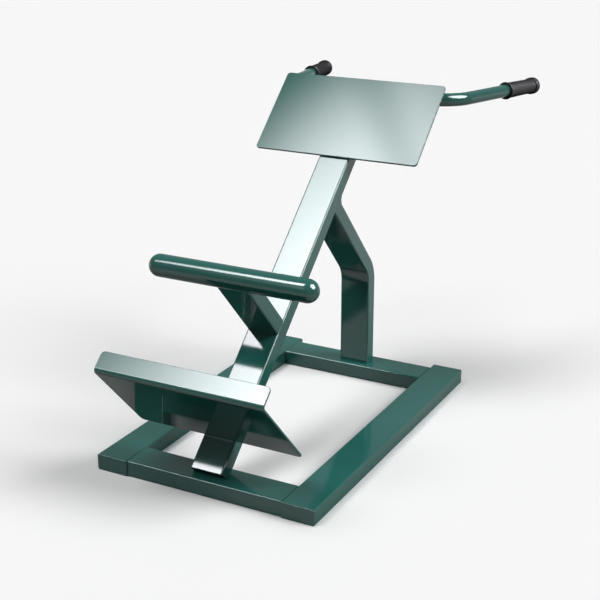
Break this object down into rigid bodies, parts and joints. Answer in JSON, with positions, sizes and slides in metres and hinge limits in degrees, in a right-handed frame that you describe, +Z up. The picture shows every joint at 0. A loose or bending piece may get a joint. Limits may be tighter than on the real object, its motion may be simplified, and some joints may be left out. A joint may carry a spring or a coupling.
{
  "type": "hyperextension bench",
  "caption": "Welded box-tube back extension bench with a sloping beam, hip plate, leg roller, lipped foot plate and rear handles with rubber grips.",
  "frame": {"origin": "on the floor, under the middle of the front crossbar", "axes": "+Z up, +Y to the rear and up the slope of the beam, +X to the right across the bench"},
  "size_m": [0.6582, 1.2819, 0.7816],
  "materials": {
    "frame_paint": "gloss",
    "plate_paint": "satin",
    "grip_rubber": "matte"
  },
  "bodies": {
    "root": {"left_side_rail": "frame_paint", "right_side_rail": "frame_paint", "front_crossbar": "frame_paint", "rear_crossbar": "frame_paint", "rail_cap_front_left": "frame_paint", "rail_cap_front_right": "frame_paint", "rail_cap_rear_left": "frame_paint", "rail_cap_rear_right": "frame_paint", "main_beam": "frame_paint", "beam_foot_cap": "frame_paint", "beam_top_cap": "frame_paint", "rear_post": "frame_paint", "post_weld": "frame_paint", "roller_strut": "frame_paint", "roller_tube": "frame_paint", "roller_left_dome": "frame_paint", "roller_right_dome": "frame_paint", "handlebar": "frame_paint", "foot_plate": "plate_paint", "hip_plate": "plate_paint", "left_grip": "grip_rubber", "right_grip": "grip_rubber"}
  },
  "joints": []
}
